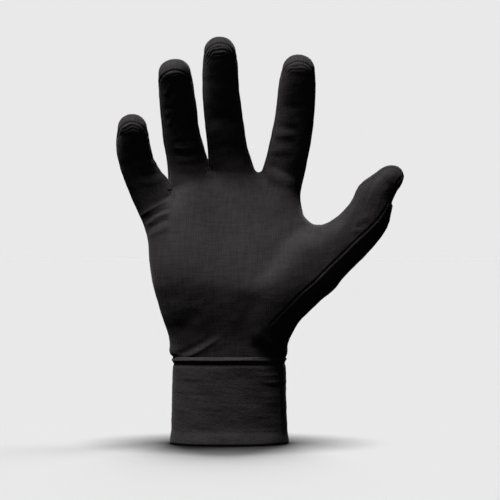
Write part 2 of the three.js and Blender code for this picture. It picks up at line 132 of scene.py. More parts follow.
# Gathers by that seam: how far below the outline, height (below zero: a crease), half width.
GATHERS = {
    "little": [(0.7, -0.14, 0.3), (1.45, -0.14, 0.3), (3.0, 0.18, 0.34), (3.7, -0.2, 0.32), (4.4, 0.16, 0.35), (5.3, -0.22, 0.4), (6.4, 0.1, 0.5)],
    "ring": [(1.8, -0.07, 0.4), (4.1, 0.22, 0.33), (4.8, -0.3, 0.33), (5.5, 0.22, 0.35), (6.4, -0.34, 0.45), (7.6, 0.14, 0.5)],
    "middle": [(2.8, 0.18, 0.33), (3.5, -0.28, 0.33), (4.3, 0.24, 0.35), (5.2, -0.24, 0.4), (6.2, 0.2, 0.4), (7.2, -0.14, 0.45), (8.4, 0.12, 0.6)],
    "index": [(2.7, 0.14, 0.33), (3.4, -0.2, 0.33), (4.2, 0.2, 0.35), (5.1, -0.2, 0.4), (6.1, 0.14, 0.45), (7.2, -0.1, 0.5)],
    "thumb": [(2.6, 0.12, 0.5)]}


# ---- splines and swept sections ----------------------------------------------------------------------------
def spline(rows, step):
    """Points on a smooth line through the rows, every column together."""
    r = np.array(rows, float)
    p = np.vstack([2 * r[0] - r[1], r, 2 * r[-1] - r[-2]])
    out = []
    k = min(3, r.shape[1])
    for i in range(1, len(p) - 2):
        n = max(1, int(math.ceil(np.linalg.norm(p[i + 1, :k] - p[i, :k]) / step)))
        a, b, c, d = p[i - 1], p[i], p[i + 1], p[i + 2]
        for t in np.arange(n) / n:
            out.append(0.5 * (2 * b + (c - a) * t + (2 * a - 5 * b + 4 * c - d) * t * t + (3 * b - a - 3 * c + d) * t ** 3))
    out.append(p[-2])
    return np.array(out)


def unit(v):
    return v / np.maximum(np.linalg.norm(v, axis=-1, keepdims=True), 1e-9)


class Swept:
    """A swept section with a domed end."""

    def __init__(self, rows, step=2.6):
        body = spline(rows[:-1], step)
        self.c = body[:, :3]
        self.w, self.d = body[:, 3], body[:, 4]
        tip = np.array(rows[-1][:3], float)
        t = np.gradient(np.vstack([self.c, tip]), axis=0)[:-1]
        self.t = unit(t)
        v = np.array([0.0, 1.0, 0.0]) - self.t * self.t[:, 1:2]
        self.v = unit(v)
        self.u = np.cross(self.v, self.t)
        self.rise = np.linalg.norm(tip - self.c[-1])
        self.tip = tip
        self.low = self.c.min(0) - (np.maximum(self.w, self.d).max() + 9)
        self.high = np.maximum(self.c.max(0), tip) + np.maximum(self.w, self.d).max() + 9
        self.low, self.high = np.minimum(self.low, tip - 9), np.maximum(self.high, tip + 9)

    def place(self, p):
        """The nearest place on the line for each point: segment and share along it."""
        best = np.full(len(p), 1e18)
        seg = np.zeros(len(p), int)
        share = np.zeros(len(p))
        for i in range(len(self.c) - 1):
            e = self.c[i + 1] - self.c[i]
            q = p - self.c[i]
            t = (q @ e) / (e @ e)
            tc = np.clip(t, 0, 1)
            d2 = ((q - tc[:, None] * e) ** 2).sum(1)
            m = d2 < best
            best[m], seg[m], share[m] = d2[m], i, tc[m]
        return seg, share

    def local(self, p):
        seg, s = self.place(p)
        s = s[:, None]
        mixed = lambda a: a[seg] * (1 - s) + a[seg + 1] * s
        c = mixed(self.c)
        u, v, t = mixed(self.u), mixed(self.v), mixed(self.t)
        w, d = mixed(self.w[:, None])[:, 0], mixed(self.d[:, None])[:, 0]
        rel = p - c
        end = (seg == len(self.c) - 2) & (s[:, 0] >= 1)
        start = (seg == 0) & (s[:, 0] <= 0)
        l = (rel * t).sum(1)
        l = np.where(end, l / self.rise, np.where(start, l / 12.0, 0.0))
        return (rel * u).sum(1), (rel * v).sum(1), l, w, d, rel

    def field(self, p):
        """Roughly the distance to the face: negative inside."""
        a, b, l, w, d, rel = self.local(p)
        f = np.sqrt((np.abs(a / w) ** SQUARE + np.abs(b / d) ** SQUARE) ** (2 / SQUARE) + l ** 2)
        r = np.linalg.norm(rel, axis=1)
        return r - r / np.maximum(f, 1e-4)


def tip_place(s, p):
    """For points by a finger's end: across, along (0 at the last section, growing towards the tip), and how far
    below the outline of the tip that the front view shows, in arcs that drop a little at the sides."""
    rel = p - s.c[-1]
    a, l = rel @ s.u[-1], rel @ s.t[-1]
    q = np.sqrt(np.maximum(1 - (a / (s.w[-1] + EASE)) ** 2, 0))
    return a, l, ((s.rise + EASE) * q - l) / (1.9 - 0.9 * q)


def level(table, z, column):
    t = np.array(table, float)
    zs = t[:, 0]
    dense = spline(np.column_stack([t[:, 0], t[:, column]]), 0.7)
    return np.interp(z, dense[:, 0], dense[:, 1])


def smooth(a, b, x):
    t = np.clip((x - a) / (b - a), 0, 1)
    return t * t * (3 - 2 * t)


def palm_field(p):
    z = p[:, 2]
    left, right, front, back = (level(PALM, z, i) for i in (1, 2, 3, 4))
    past = np.clip(z - PALM[-1][0], 0, 5)
    front, back = front + 0.65 * past, back - 0.5 * past
    xc, yc, hw, hd = (left + right) / 2, (front + back) / 2, (right - left) / 2, (back - front) / 2
    over = np.maximum(z - PALM[-1][0], 0) / PALM_TOP
    rx, ry = p[:, 0] - xc, p[:, 1] - yc
    f = (np.abs(rx / hw) ** PALM_SQUARE + np.abs(ry / hd) ** PALM_SQUARE + over ** PALM_SQUARE) ** (1 / PALM_SQUARE)
    r = np.sqrt(rx ** 2 + ry ** 2 + (over * PALM_TOP) ** 2)
    return r - r / np.maximum(f, 1e-4)


def soft_union(a, b, k):
    h = np.maximum(k - np.abs(a - b), 0) / k
    return np.minimum(a, b) - h * h * k / 4


SWEPT = {name: Swept(rows) for name, rows in FINGERS.items()}
WEB = Swept(THUMB_WEB)
FOUR = ("little", "ring", "middle", "index")


def field(p):
    def part(s):
        out = np.full(len(p), 30.0)
        m = ((p > s.low) & (p < s.high)).all(1)
        out[m] = s.field(p[m])
        return out
    fingers = part(SWEPT["little"])
    for name in FOUR[1:]:
        fingers = soft_union(fingers, part(SWEPT[name]), 1.2)
    m = p[:, 2] < PALM[-1][0] + PALM_TOP + 12
    palm = np.full(len(p), 30.0)
    palm[m] = palm_field(p[m])
    thumb = soft_union(part(SWEPT["thumb"]), part(WEB), 5.0)
    k = 7.0 - 5.0 * np.exp(-((p[:, 0] + 34) / 6) ** 2 - ((p[:, 2] - 148) / 8) ** 2)
    return soft_union(soft_union(palm, fingers, k), thumb, 7.0) - EASE


def gradient(p, h=0.3):
    g = np.empty_like(p)
    for i in range(3):
        e = np.zeros(3)
        e[i] = h
        g[:, i] = (field(p + e) - field(p - e)) / (2 * h)
    return g


# ---- the outer face as a mesh ---------------------------------------------------------------------------------
def face_mesh():
    """Quads on the zero of the field: one vertex in each grid cell that the face passes through."""
    low, high = np.array([-70.0, -27.0, 45.0]), np.array([104.0, 27.5, 238.0])
    n = np.ceil((high - low) / CELL).astype(int) + 1
    axes = [low[i] + CELL * np.arange(n[i]) for i in range(3)]
    values = np.empty(n, np.float32)
    for k0 in range(0, n[2], 24):
        zs = axes[2][k0:k0 + 24]
        g = np.stack(np.meshgrid(axes[0], axes[1], zs, indexing="ij"), -1).reshape(-1, 3)
        values[:, :, k0:k0 + 24] = field(g).reshape(n[0], n[1], len(zs))
    inside = values < 0
    cells = n - 1
    total = np.zeros((*cells, 3), np.float32)
    count = np.zeros(cells, np.float32)
    corner = lambda i, j, k: (slice(i, n[0] - 1 + i), slice(j, n[1] - 1 + j), slice(k, n[2] - 1 + k))
    for axis in range(3):
        for a in (0, 1):
            for b in (0, 1):
                c0 = [0, 0, 0]
                others = [i for i in range(3) if i != axis]
                c0[others[0]], c0[others[1]] = a, b
                c1 = list(c0)
                c1[axis] = 1
                v0, v1 = values[corner(*c0)], values[corner(*c1)]
                m = (v0 < 0) != (v1 < 0)
                t = np.where(m, v0 / np.where(m, v0 - v1, 1), 0)
                for i in range(3):
                    total[..., i] += np.where(m, c0[i] + (t if i == axis else 0), 0)
                count += m
    used = count > 0
    ids = np.full(cells, -1, np.int64)
    ids[used] = np.arange(used.sum())
    base = np.argwhere(used)
    verts = low + CELL * (base + total[used] / count[used][:, None])
    quads = []
    for axis in range(3):
        o1, o2 = (axis + 1) % 3, (axis + 2) % 3
        s0 = [slice(None)] * 3
        s1 = [slice(None)] * 3
        s0[axis], s1[axis] = slice(0, n[axis] - 1), slice(1, n[axis])
        change = inside[tuple(s0)] != inside[tuple(s1)]
        at = np.argwhere(change)
        at = at[(at[:, o1] > 0) & (at[:, o2] > 0) & (at[:, o1] < cells[o1]) & (at[:, o2] < cells[o2])]
        out = inside[tuple(s0)][tuple(at.T)]
        q = []
        for d1, d2 in ((-1, -1), (0, -1), (0, 0), (-1, 0)):
            c = at.copy()
            c[:, o1] += d1
            c[:, o2] += d2
            q.append(ids[tuple(c.T)])
        q = np.array(q).T
        q[~out] = q[~out][:, ::-1]
        quads.append(q)
    quads = np.vstack(quads)
    return verts, quads[(quads >= 0).all(1)]


def relax(verts, quads, rounds):
    """Evens the vertices out along the face and puts them back on it."""
    e = np.vstack([quads[:, [0, 1]], quads[:, [1, 2]], quads[:, [2, 3]], quads[:, [3, 0]]])
    e = np.unique(np.sort(e, axis=1), axis=0)
    for _ in range(rounds):
        s = np.zeros_like(verts)
        c = np.zeros(len(verts))
        for a, b in ((0, 1), (1, 0)):
            np.add.at(s, e[:, a], verts[e[:, b]])
            np.add.at(c, e[:, a], 1)
        verts = verts * 0.5 + 0.5 * s / np.maximum(c, 1)[:, None]
        g = gradient(verts)
        verts = verts - g * (field(verts) / np.maximum((g ** 2).sum(1), 0.2))[:, None]
    return verts


# ---- where the seams run ----------------------------------------------------------------------------------------
def along(rows, x, z):
    """Signed distance from a line in the front view (positive to its right, going up) and the share along it as a row
    number."""
    r = np.array(rows, float)
    best = np.full(len(x), 1e18)
    side = np.zeros(len(x))
    at = np.zeros(len(x))
    for i in range(len(r) - 1):
        ex, ez = r[i + 1] - r[i]
        t = np.clip(((x - r[i, 0]) * ex + (z - r[i, 1]) * ez) / (ex * ex + ez * ez), 0, 1)
        dx, dz = x - r[i, 0] - t * ex, z - r[i, 1] - t * ez
        d = dx * dx + dz * dz
        m = d < best
        best[m] = d[m]
        side[m] = np.sign(dx * ez - dz * ex)[m]
        at[m] = (i + t)[m]
    return np.sqrt(best) * np.where(side == 0, 1, side), at


CENTRE = {name: np.vstack([s.c, s.tip]) for name, s in SWEPT.items()}


def middle_y(x, z):
    total, weight = np.zeros(len(x)), np.zeros(len(x))
    for name, c in CENTRE.items():
        off, at = along(c[:, [0, 2]], x, z)
        y = np.interp(at, np.arange(len(c)), c[:, 1])
        w = 1 / (0.02 + (np.maximum(0, np.abs(off) - 5) / 10) ** 4)
        total += w * y
        weight += w
    s = np.array(SIDE, float)
    w = 1 / (0.02 + (np.maximum(0, z - 112) / 12 + np.maximum(0, x - 5) / 14) ** 4)
    return (total + w * np.interp(z, s[:, 0], s[:, 1])) / (weight + w)


def back_field(p):
    """Positive on the back panel: behind the side seams, over the fingertips, beyond the thumb's seam."""
    x, y, z = p.T
    g = y - middle_y(x, z)
    seam = spline(THUMB_SEAM, 2.0)
    off, _ = along(seam, x, z)
    g = np.maximum(g, np.where((x > 10) | (z < 100), -off, -50))
    # the forefinger's outer seam comes a little way round to the front
    c = CENTRE["index"]
    side, at = along(c[:, [0, 2]], x, z)
    up = smooth(126, 150, z) * (1 - smooth(205, 219, z))
    g = g + np.where(z > 120, 9.0 * smooth(1.0, 9.0, side) * up * (side < 16), 0)
    for name, s in SWEPT.items():
        near = (((p - s.tip) ** 2).sum(1) < 26 ** 2) & (np.abs((p - s.tip) @ s.u[-1]) < s.w[-1] + 4)
        a, l, inside = tip_place(s, p)
        if name == "thumb":
            edge = TIP_SEAMS[name] * smooth(-18, -4, l) - (s.w[-1] + EASE + np.maximum(-l, 0) * 0.1 - np.abs(a))
            h = np.where(a < 0, np.maximum(edge, TIP_SEAMS[name] - inside), TIP_SEAMS[name] - inside)
            near &= l > -18
        else:
            h = TIP_SEAMS[name] - inside
        g = np.where(near, np.maximum(g, h), g)
    return g


def fourchette_field(p, a, b, point, left, right):
    """Positive on the fourchette between two fingers."""
    x, y, z = p.T
    oa, ta = along(CENTRE[a][:, [0, 2]], x, z)
    ob, tb = along(CENTRE[b][:, [0, 2]], x, z)
    mid = middle_y(x, z)
    below = []
    for name, t in ((a, ta), (b, tb)):
        c = CENTRE[name]
        here = np.stack([np.interp(t, np.arange(len(c)), c[:, i]) for i in (0, 2)], 1)
        below.append(np.hypot(*(c[-1][[0, 2]] - here).T))
    nearer = np.where(np.abs(oa) < np.abs(ob), below[0], below[1])
    half = FOURCHETTE_HALF * np.clip((nearer - FOURCHETTE_END) / 16, 0, 1) ** 0.6
    band = np.minimum.reduce([half - np.abs(y - mid), oa, -ob, nearer - FOURCHETTE_END, z - point[1]])
    if left is None:
        return band
    # the pointed ends, in the front view
    pt, pl, pr = (np.array(q, float) for q in (point, left, right))
    edge = lambda q0, q1: ((q1[0] - q0[0]) * (z - q0[1]) - (q1[1] - q0[1]) * (x - q0[0])) / np.hypot(*(q1 - q0))
    tri = np.minimum.reduce([edge(pt, pr), edge(pl, pt), pl[1] + 1.5 - z])
    return np.maximum(band, tri)


def cut(verts, tris, fields, which, snap):
    """Cuts triangles along the zero of one field; the other fields are carried to the new vertices."""
    g = fields[which].copy()
    g[np.abs(g) < snap] = 0
    fields = fields.copy()
    fields[which] = g
    e = np.vstack([tris[:, [0, 1]], tris[:, [1, 2]], tris[:, [2, 0]]])
    key = np.sort(e, axis=1)
    uniq, inv = np.unique(key, axis=0, return_inverse=True)
    inv = inv.reshape(-1)
    ga, gb = g[uniq[:, 0]], g[uniq[:, 1]]
    hit = ga * gb < 0
    new = np.full(len(uniq), -1, np.int64)
    new[hit] = len(verts) + np.arange(hit.sum())
    t = (ga[hit] / (ga[hit] - gb[hit]))
    a, b = uniq[hit].T
    verts = np.vstack([verts, verts[a] + (verts[b] - verts[a]) * t[:, None]])
    more = fields[:, a] + (fields[:, b] - fields[:, a]) * t
    more[which] = 0
    fields = np.hstack([fields, more])
    n = len(tris)
    m = np.stack([new[inv[:n]], new[inv[n:2 * n]], new[inv[2 * n:]]], 1)      # new vertex on each of the three edges
    k = (m >= 0).sum(1)
    out = [tris[k == 0]]
    for r in range(3):
        i, j, l = r, (r + 1) % 3, (r + 2) % 3                                 # edge i runs from corner i to corner j
        s = (k == 1) & (m[:, i] >= 0)
        if s.any():
            c, e1 = tris[s], m[s, i]
            out += [np.stack([c[:, i], e1, c[:, l]], 1), np.stack([e1, c[:, j], c[:, l]], 1)]
        s = (k == 2) & (m[:, j] < 0)                                          # edges i and l are cut, so corner i is alone
        if s.any():
            c, e1, e2 = tris[s], m[s, i], m[s, l]
            out += [np.stack([c[:, i], e1, e2], 1), np.stack([e1, c[:, j], c[:, l]], 1), np.stack([e1, c[:, l], e2], 1)]
    return verts, np.vstack(out), fields


def refine(verts, tris, want):
    """Splits the edges whose both ends are wanted at their middle."""
    e = np.vstack([tris[:, [0, 1]], tris[:, [1, 2]], tris[:, [2, 0]]])
    uniq, inv = np.unique(np.sort(e, axis=1), axis=0, return_inverse=True)
    inv = inv.reshape(-1)
    hit = want[uniq[:, 0]] & want[uniq[:, 1]]
    new = np.full(len(uniq), -1, np.int64)
    new[hit] = len(verts) + np.arange(hit.sum())
    middle = verts[uniq[hit]].mean(1)
    g = gradient(middle)
    middle = middle - g * (field(middle) / np.maximum((g ** 2).sum(1), 0.2))[:, None]
    n = len(tris)
    m = np.stack([new[inv[:n]], new[inv[n:2 * n]], new[inv[2 * n:]]], 1)
    k = (m >= 0).sum(1)
    out = [tris[k == 0]]
    c, e3 = tris[k == 3], m[k == 3]
    out += [np.stack([c[:, 0], e3[:, 0], e3[:, 2]], 1), np.stack([c[:, 1], e3[:, 1], e3[:, 0]], 1),
            np.stack([c[:, 2], e3[:, 2], e3[:, 1]], 1), e3]
    for r in range(3):
        i, j, l = r, (r + 1) % 3, (r + 2) % 3
        q = (k == 1) & (m[:, i] >= 0)
        c, e1 = tris[q], m[q, i]
        out += [np.stack([c[:, i], e1, c[:, l]], 1), np.stack([e1, c[:, j], c[:, l]], 1)]
    return np.vstack([verts, middle]), np.vstack(out)


# ---- folds ---------------------------------------------------------------------------------------------------------
# Each fold in the front view: from (x, z), through (x, z), to (x, z), how far it stands out (below zero: a crease)
# and its half width.
FOLDS = [
    # little
    (-55.4, 164.9, -47.9, 163.7, -41.0, 167.2, -0.45, 1.5),
    (-54.9, 162.0, -47.9, 161.4, -40.5, 163.7, 0.35, 1.6),
    (-53.8, 155.7, -45.7, 155.2, -38.2, 158.0, -0.5, 1.5),
    (-53.2, 151.7, -45.2, 151.1, -35.9, 155.2, 0.4, 1.9),
    # little base
    (-52.2, 131.0, -42.9, 136.2, -31.4, 139.1, 0.75, 1.3),
    (-48.7, 128.1, -41.2, 132.7, -31.4, 135.0, -0.6, 1.2),
    (-48.1, 125.8, -40.6, 129.8, -31.9, 133.3, 0.7, 1.3),
    (-46.9, 122.9, -40.0, 126.4, -32.5, 129.2, -0.6, 1.3),
    (-46.3, 119.4, -39.4, 122.3, -31.9, 125.8, 0.55, 1.5),
    # ring
    (-32.6, 173.9, -25.1, 175.2, -16.4, 174.3, -0.6, 1.1),
    (-33.1, 171.8, -26.8, 170.6, -18.1, 171.8, 0.45, 1.1),
    (-32.0, 168.6, -26.2, 166.8, -19.0, 167.6, -0.3, 1.2),
    (-31.5, 164.0, -25.1, 164.0, -17.0, 165.7, 0.4, 1.6),
    (-30.0, 158.3, -22.9, 155.6, -14.6, 158.4, -0.35, 2.2),
    (-37.5, 191.7, -30.0, 193.4, -23.1, 192.3, -0.4, 1.5),
    (-37.4, 188.2, -32.8, 194.5, -31.7, 202.6, 0.45, 1.5),
    (-36.4, 182.0, -32.9, 187.8, -30.6, 194.7, 0.35, 1.4),
    (-37.3, 200.0, -35.0, 203.4, -33.3, 209.1, 0.3, 1.2),
    # middle
    (-13.3, 202.4, -4.1, 204.7, 5.0, 202.4, 0.25, 3.0),
    (-13.4, 186.7, -3.1, 188.4, 7.3, 186.7, -0.35, 2.6),
    (-12.9, 180.5, -3.1, 181.1, 8.4, 180.5, 0.3, 3.0),
    (-12.4, 170.3, -2.0, 172.0, 9.6, 170.3, -0.35, 2.6),
    # index
    (24.6, 177.4, 31.5, 178.4, 38.6, 176.4, 0.5, 2.3),
    (26.2, 182.0, 32.1, 182.8, 40.9, 180.6, -0.3, 2.0),
    (23.5, 166.3, 31.0, 165.2, 38.5, 167.5, -0.25, 1.5),
    (22.9, 169.2, 30.4, 169.8, 39.7, 172.1, 0.25, 1.8),
    (22.3, 161.2, 30.4, 157.7, 39.7, 152.5, -0.45, 2.0),
    (21.1, 155.3, 29.2, 152.4, 38.5, 146.7, 0.3, 2.6),
    (28.5, 195.8, 36.0, 194.1, 44.1, 196.4, -0.3, 2.2),
    # wrist
    (-28.5, 49.4, -17.4, 54.0, -2.6, 63.6, 0.45, 1.2),
    (-32.5, 51.4, -20.8, 56.0, -7.0, 64.6, -0.55, 1.6),
    (-16.9, 51.2, -7.1, 54.2, 2.6, 58.9, -0.12, 1.8),
    (20.0, 61.5, 26.5, 57.0, 31.8, 51.8, 0.85, 1.4),
    (23.2, 64.5, 29.0, 60.5, 34.2, 55.3, -0.5, 1.5),
    # thumb
    (74.6, 124.6, 76.6, 129.0, 79.0, 132.6, 0.35, 1.8),
    (72.9, 122.8, 75.2, 126.2, 78.6, 128.4, -0.35, 1.5),
    (70.2, 127.2, 72.0, 131.0, 74.6, 134.5, -0.25, 1.8),
    (70.0, 121.6, 72.6, 123.4, 76.0, 124.4, 0.2, 1.4),
    # web
    (43.0, 132.7, 47.6, 126.9, 55.1, 124.0, 0.45, 1.8),
    (41.8, 128.1, 47.0, 121.7, 55.7, 118.8, -0.5, 2.4),
    # palm
    (3.9, 85.7, 22.1, 93.7, 42.7, 108.5, 0.6, 5.0),
    (-17.9, 79.0, -23.4, 71.6, -28.0, 63.0, -0.4, 4.0),
]


def fold_shift(p, n):
    x, z = p[:, 0], p[:, 2]
    front = 1 - smooth(-0.05, 0.45, n[:, 1])
    total = np.zeros(len(p))
    for x0, z0, rx, rz, height in MOUNDS:
        total += height * np.exp(-((x - x0) / rx) ** 2 - ((z - z0) / rz) ** 2) * front
    for x0, z0, xm, zm, x1, z1, height, width in FOLDS:
        c0, c1, c2 = np.array([x0, z0]), np.array([2 * xm - (x0 + x1) / 2, 2 * zm - (z0 + z1) / 2]), np.array([x1, z1])
        t = np.linspace(0, 1, 13)[:, None]
        line = c0 * (1 - t) ** 2 + 2 * c1 * t * (1 - t) + c2 * t * t
        near = (x > line[:, 0].min() - 3 * width) & (x < line[:, 0].max() + 3 * width) & (z > line[:, 1].min() - 3 * width) & (z < line[:, 1].max() + 3 * width)
        if not near.any():
            continue
        off, at = along(line, x[near], z[near])
        share = at / 12
        end = smooth(-0.02, 0.28, share) * (1 - smooth(0.72, 1.02, share))
        total[near] += height * np.exp(-(off / width) ** 2) * end * front[near]
    return total


def waves(p, size, count, seed):
    """Gentle unevenness: a sum of waves in fixed random directions."""
    r = np.random.default_rng(seed)
    total = np.zeros(len(p))
    for _ in range(count):
        k = r.normal(size=3)
        k *= 2 * math.pi / (size * r.uniform(0.7, 1.5)) / np.linalg.norm(k)
        total += np.sin(p @ k + r.uniform(0, 6.28))
    return total / math.sqrt(count)


def gathers(p, n):
    """Small gathers in arcs below each fingertip's seam, and short ones across it on the tip itself."""
    front = 1 - smooth(-0.2, 0.5, n[:, 1])
    total = np.zeros(len(p))
    for name, s in SWEPT.items():
        near = ((p - s.tip) ** 2).sum(1) < 26 ** 2
        q = p[near]
        a, l, inside = tip_place(s, q)
        ok = (1 - smooth(0.8, 1.0, np.abs(a) / (s.w[-1] + EASE))) * smooth(-12.0, -4.0, l)
        part = np.zeros(len(q))
        wander = 0.6 * waves(q, 8, 5, 11)
        strong = 0.65 + 0.45 * waves(q, 7, 5, 21)
        for depth, height, width in GATHERS[name]:
            part += strong * height * np.exp(-((inside + wander - depth) / width) ** 2)
        below = TIP_SEAMS[name]
        turn = np.arctan2(a, np.maximum(l, 0) + 3.0)
        part += 0.10 * np.sin(turn * 42 + 2.0 * waves(q, 7, 4, 5)) * np.exp(-((inside - 0.55 * below) / (0.5 * below)) ** 2)
        total[near] += part * ok * front[near]
    return total


# ---- make the hand's panels --------------------------------------------------------------------------------------------
def wanted(p):
    """Where the cloth's detail needs a finer mesh: by the fingertips' seams, the thumb's seam and the sharp folds."""
    m = np.zeros(len(p), bool)
    for name, s in SWEPT.items():
        rel = p - s.c[-1]
        m |= (((p - s.tip) ** 2).sum(1) < 22 ** 2) & (rel @ s.t[-1] > -6) & (rel @ s.v[-1] < 1.5)
    off, _ = along(spline(THUMB_SEAM, 2.0), p[:, 0], p[:, 2])
    m |= (np.abs(off) < 2.8) & (p[:, 1] < 2) & ((p[:, 0] > 15))
    for _, _, point, left, right in POINTS:
        m |= (np.hypot(p[:, 0] - point[0], p[:, 2] - point[1] - 3) < 7.5) & (p[:, 1] < 8)
    for x0, z0, xm, zm, x1, z1, height, width in FOLDS:
        if width < 1.45:
            off, _ = along([(x0, z0), (xm, zm), (x1, z1)], p[:, 0], p[:, 2])
            m |= (np.abs(off) < 2.2 * width) & (p[:, 1] < 4)
    return m


verts, quads = face_mesh()
verts = relax(verts, quads, 3)
tris = np.vstack([quads[:, [0, 1, 2]], quads[:, [0, 2, 3]]])
verts, tris = refine(verts, tris, wanted(verts))
fields = np.stack([HAND_BOTTOM - verts[:, 2], back_field(verts)] + [fourchette_field(verts, *row) for row in POINTS])
for which, snap in enumerate((0.12, 0.08, 0.08, 0.08, 0.08)):
    verts, tris, fields = cut(verts, tris, fields, which, snap)
    if which == 0:
        tris = tris[fields[0][tris].mean(1) < 0]
mean = fields[:, tris].mean(2)
kind = np.where(mean[1] > 0, 1, 0)
for i in range(3):
    kind = np.where(mean[2 + i] > 0, 2 + i, kind)
NAMES = ["palm_panel", "back_panel", "fourchette_little_ring", "fourchette_ring_middle", "fourchette_middle_index"]

# slivers of under 60 triangles that a seam leaves go to the panel around them
def tidy(tris, kind):
    e = np.vstack([tris[:, [0, 1]], tris[:, [1, 2]], tris[:, [2, 0]]])
    owner = np.tile(np.arange(len(tris)), 3)
    order = np.lexsort(np.sort(e, axis=1).T[::-1])
    es, os_ = np.sort(e, axis=1)[order], owner[order]
    same = (es[1:] == es[:-1]).all(1)
    a, b = os_[1:][same], os_[:-1][same]
    label = np.arange(len(tris))
    joined = kind[a] == kind[b]
    ja, jb = a[joined], b[joined]
    while True:
        new = label.copy()
        np.minimum.at(new, ja, label[jb])
        np.minimum.at(new, jb, label[ja])
        new = new[new]
        if (new == label).all():
            break
        label = new
    size = np.bincount(label, minlength=len(tris))[label]
    kind = kind.copy()
    for _ in range(40):
        small = (size < 60) & (size[a].max() > 0)
        ma, mb = small[a] & ~small[b], small[b] & ~small[a]
        if not (ma.any() or mb.any()):
            break
        kind[a[ma]] = kind[b[ma]]
        size[a[ma]] = 60
        kind[b[mb]] = kind[a[mb]]
        size[b[mb]] = 60
    return kind


kind = tidy(tris, kind)
used = np.unique(tris)
index = np.full(len(verts), -1)
index[used] = np.arange(len(used))
verts, tris = verts[used], index[tris]
normal = unit(gradient(verts))

# seams: edges between two pieces
e = np.vstack([tris[:, [0, 1]], tris[:, [1, 2]], tris[:, [2, 0]]])
k3 = np.concatenate([kind] * 3)
order = np.lexsort(np.sort(e, axis=1).T[::-1])
es, ks = np.sort(e, axis=1)[order], k3[order]
same = (es[1:] == es[:-1]).all(1)
seam_edges = es[1:][same & (ks[1:] != ks[:-1])]
tree_points = np.vstack([verts[seam_edges[:, 0]], verts[seam_edges.T].mean(0)])
tree = KDTree(len(tree_points))
for i, q in enumerate(tree_points):
    tree.insert(q, i)
tree.balance()
seam_distance = np.array([tree.find(q)[2] for q in verts])

shift = fold_shift(verts, normal) + gathers(verts, normal)
shift += 0.10 * waves(verts, 16, 8, 3) + 0.05 * waves(verts, 7, 8, 4)
thumb_off, _ = along(spline(THUMB_SEAM, 2.0), verts[:, 0], verts[:, 2])
by_thumb = (verts[:, 1] < 3) & (verts[:, 0] > 18) & (verts[:, 2] < 160)
ridge = smooth(65, 79, verts[:, 2])
firm = np.where(by_thumb & (np.abs(thumb_off) < 4), 0.06 + 0.64 * ridge, 1.0)
for name in FOUR:
    firm = np.where(((verts - SWEPT[name].tip) ** 2).sum(1) < 14 ** 2, 0.75, firm)
shift += firm * (-0.38 * np.exp(-(seam_distance / 0.5) ** 2) + 0.12 * np.exp(-((seam_distance - 1.3) / 0.6) ** 2))
# the thumb's seam stands up in a fine ridge on the palm's side
shift += np.where(by_thumb, (0.17 * np.exp(-((thumb_off + 1.2) / 0.6) ** 2) - 0.10 * np.exp(-((thumb_off + 2.5) / 0.8) ** 2)) * ridge, 0)
outer = verts + normal * shift[:, None]
inner = outer - normal * WALL


def grain(p, back):
    """Where a point lies on the cloth: across the wales and along them, for the knit in the material."""
    x, y, z = p.T
    total, weight, shares = np.zeros(len(p)), np.zeros(len(p)), []
    for name, c in CENTRE.items():
        off, at = along(c[:, [0, 2]], x, z)
        yc = np.interp(at, np.arange(len(c)), c[:, 1])
        half = np.interp(at, np.arange(len(SWEPT[name].w)), SWEPT[name].w)
        deep = half * 0.85
        round_ = smooth(0.4, 1.0, np.abs(off) / half) * np.maximum((deep - (y - yc)) if back else (deep + (y - yc)), 0)
        u = c[0, 0] + off + np.sign(off) * round_
        w = np.exp(-np.maximum(np.abs(off) - 6, 0) / 2.0) * (smooth(134, 150, z) if name != "thumb" else smooth(52, 66, x - 0.35 * (z - 100)))
        total += w * u
        weight += w
    w = np.maximum(1 - weight, 0.02)
    return np.stack([(total + w * x) / (weight + w), y, z], 1)


def walled(name, t, back):
    """A panel with its two faces and its edge, as one closed mesh."""
    used = np.unique(t)
    index = np.full(len(outer), -1)
    index[used] = np.arange(len(used))
    t = index[t]
    n = len(used)
    v = np.vstack([outer[used], inner[used]])
    e = np.vstack([t[:, [0, 1]], t[:, [1, 2]], t[:, [2, 0]]])
    key = e[:, 0] * n + e[:, 1]
    rim = e[~np.isin(key, e[:, 1] * n + e[:, 0])]
    faces = t.tolist() + (t[:, ::-1] + n).tolist() + np.stack([rim[:, 1], rim[:, 0], rim[:, 0] + n, rim[:, 1] + n], 1).tolist()
    g = grain(verts[used], back)
    print(name, len(faces), "faces")
    return mesh_object(name, v, faces, np.vstack([g, g]))


def mesh_object(name, v, faces, places=None):
    me = bpy.data.meshes.new(name)
    me.from_pydata((np.asarray(v) * MM).tolist(), [], faces)
    me.polygons.foreach_set("use_smooth", [True] * len(me.polygons))
    if places is not None:
        me.attributes.new("grain", "FLOAT_VECTOR", "POINT").data.foreach_set("vector", np.asarray(places, np.float32).reshape(-1))
    me.update()
    o = bpy.data.objects.new(name, me)
    bpy.context.scene.collection.objects.link(o)
    return o


pieces = {}
for i, name in enumerate(NAMES):
    pieces[name] = walled(name + "_cloth", tris[kind == i], i == 1)

# ---- the cuff -------------------------------------------------------------------------------------------------------
# z, left and right edge, half depth
CUFF = [
    (0.0, -34.2, 34.2, 22.6), (1.2, -34.6, 34.5, 23.1), (4.5, -34.3, 34.1, 22.35), (8.0, -33.9, 33.7, 21.3), (12.0, -33.7, 33.4, 21.0),
    (22.0, -33.5, 33.0, 20.8), (32.0, -33.3, 32.8, 20.5), (42.0, -33.0, 32.7, 20.3), (52.0, -32.8, 32.5, 20.1)]


CUFF_SIDES = 340
CUFF_SEAM = 30.4       # the side seam, where the front view shows it
TURN = 2 * math.pi * np.arange(CUFF_SIDES) / CUFF_SIDES


